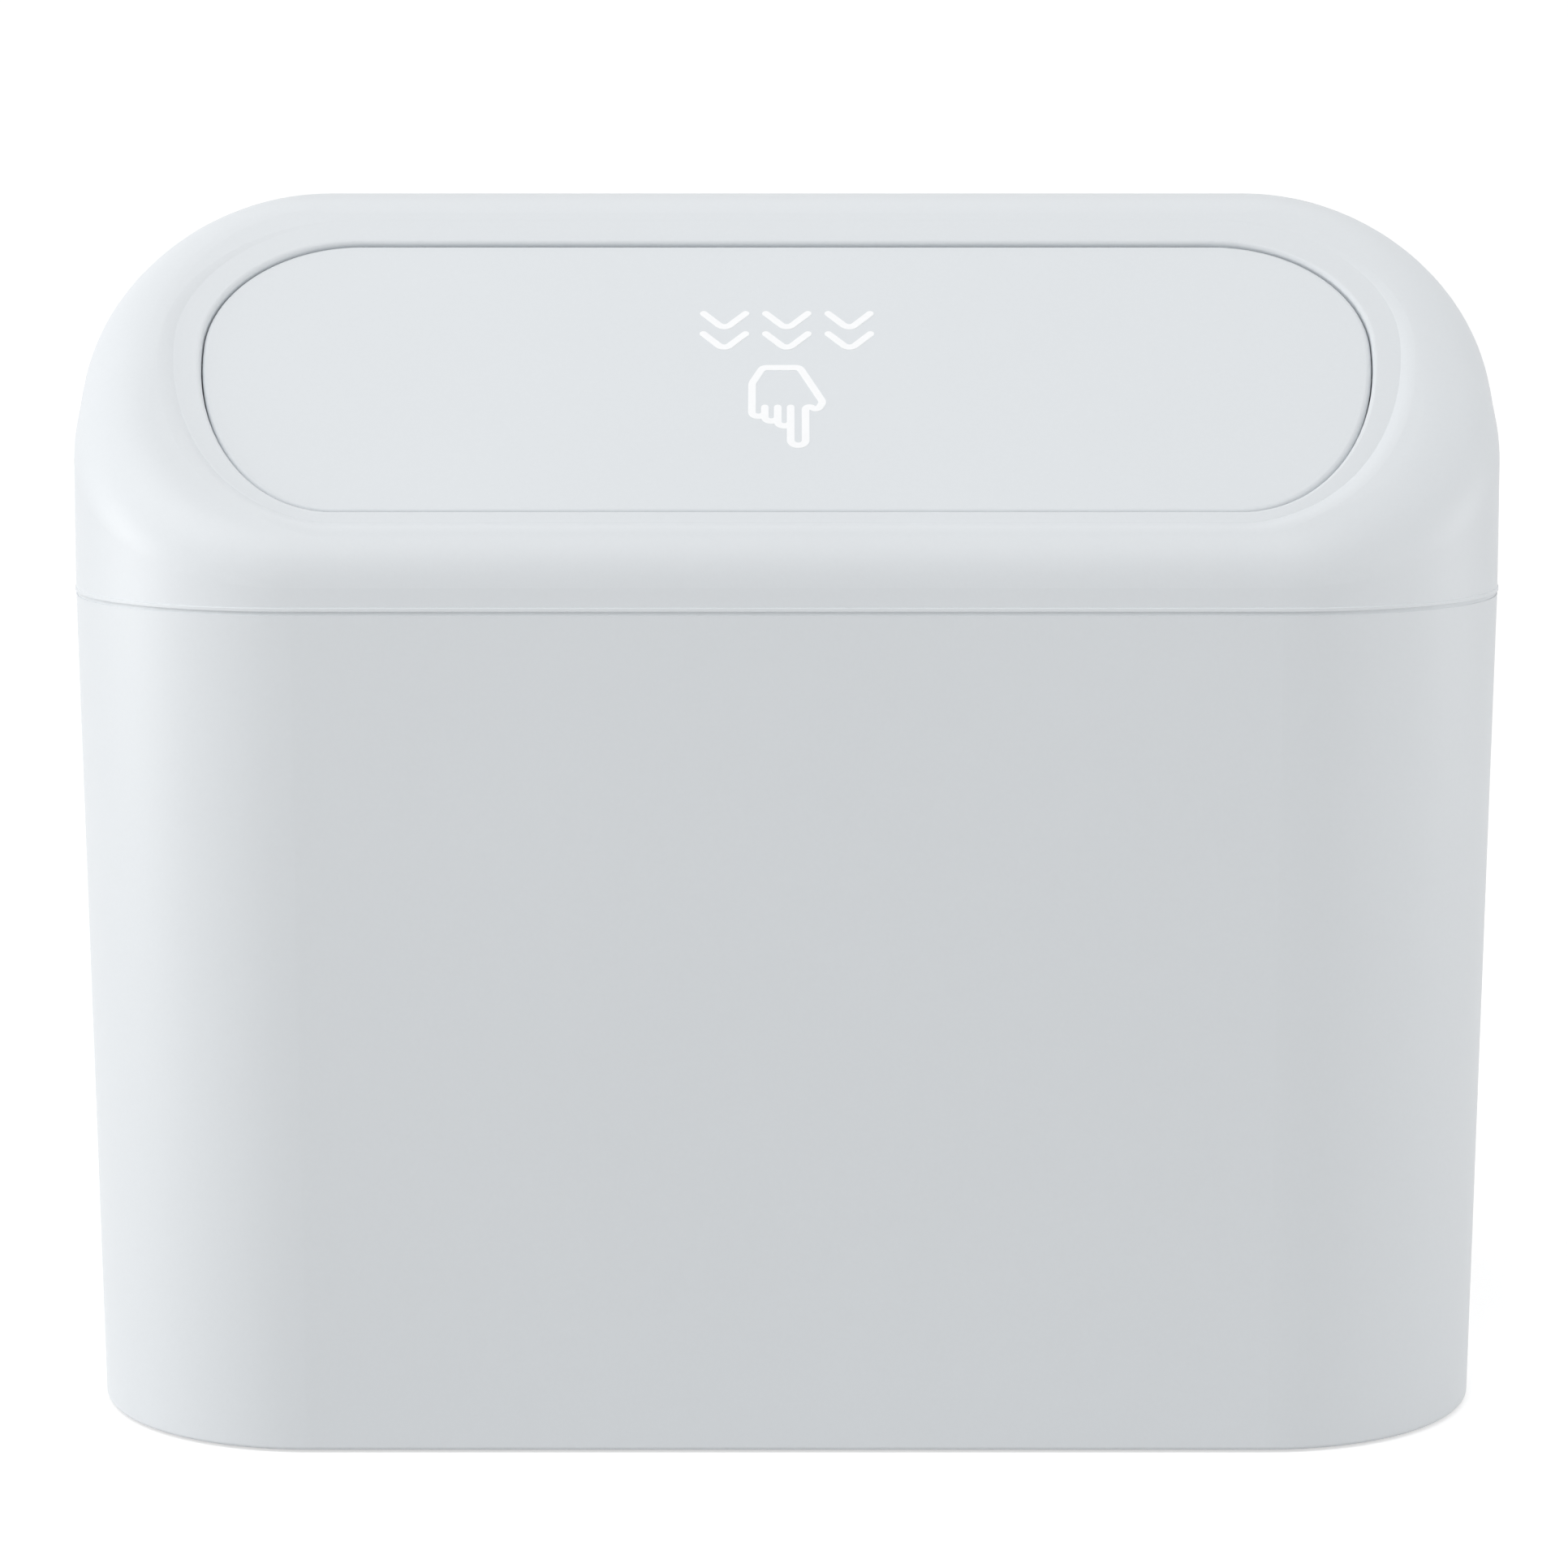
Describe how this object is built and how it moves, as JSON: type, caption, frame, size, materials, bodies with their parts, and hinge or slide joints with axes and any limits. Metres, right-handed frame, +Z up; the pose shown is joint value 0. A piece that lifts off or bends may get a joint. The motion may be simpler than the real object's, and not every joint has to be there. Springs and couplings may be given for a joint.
{
  "type": "car trash can",
  "caption": "Slim free-standing or hanging car bin with a tapered bucket, a lift-off lid frame with a sloped top and a sprung push flap that pivots a little above its middle.",
  "frame": {"origin": "centre of the underside of the anti-slip pad that the bin stands on, under the centre of the bucket", "axes": "+Z up, the lower front edge of the sloped top and the flap's push side face -Y, +X along the width to the right as seen from the front"},
  "size_m": [0.2102, 0.0979, 0.18],
  "materials": {
    "bucket_plastic": "fine spark-eroded matt, cool pale grey",
    "lid_plastic": "fine matt, cool pale grey",
    "flap_plastic": "fine matt, cool pale grey",
    "inner_plastic": "plain moulded",
    "steel": "drawn and bright",
    "soft_pad": "matt soft rubber"
  },
  "bodies": {
    "bin": {"bin_body": "bucket_plastic", "base_pad": "soft_pad", "hook_rail": "inner_plastic", "rail_screws": "steel", "rear_bumper_left": "soft_pad", "rear_bumper_right": "soft_pad"},
    "ring": {"bag_ring": "inner_plastic"},
    "lid": {"lid_frame": "lid_plastic", "stop_pads": "soft_pad", "pivot_bracket_left": "inner_plastic", "pivot_bracket_right": "inner_plastic", "bracket_screws": "steel", "return_spring_left": "steel", "return_spring_right": "steel"},
    "push_flap": {"flap": "flap_plastic", "flap_liner": "inner_plastic", "liner_screws": "steel", "pivot_pin_left": "steel", "pivot_pin_right": "steel"},
    "hook": {"hanging_hook": "inner_plastic"}
  },
  "joints": [
    {"name": "lid_lift", "type": "slide", "parent": "bin", "child": "lid", "axis": [0, 0, 1], "range_m": [0, 0.08]},
    {"name": "flap_swing", "type": "hinge", "parent": "lid", "child": "push_flap", "pos_m": [0, -0.00067, 0.15459], "axis": [1, 0, 0], "range_deg": [0, 60], "stiffness_Nm_per_rad": 0.03, "springref_deg": -20.05, "deforming": ["return_spring_left", "return_spring_right"]},
    {"name": "bag_ring_lift", "type": "slide", "parent": "bin", "child": "ring", "axis": [0, 0, 1], "range_m": [0, 0.028]},
    {"name": "hook_slide", "type": "slide", "parent": "bin", "child": "hook", "axis": [0, 0, 1], "range_m": [0, 0.024]}
  ],
  "couplings": [
    {"joint": "bag_ring_lift", "follows": "lid_lift", "ratio": 0.35}
  ]
}
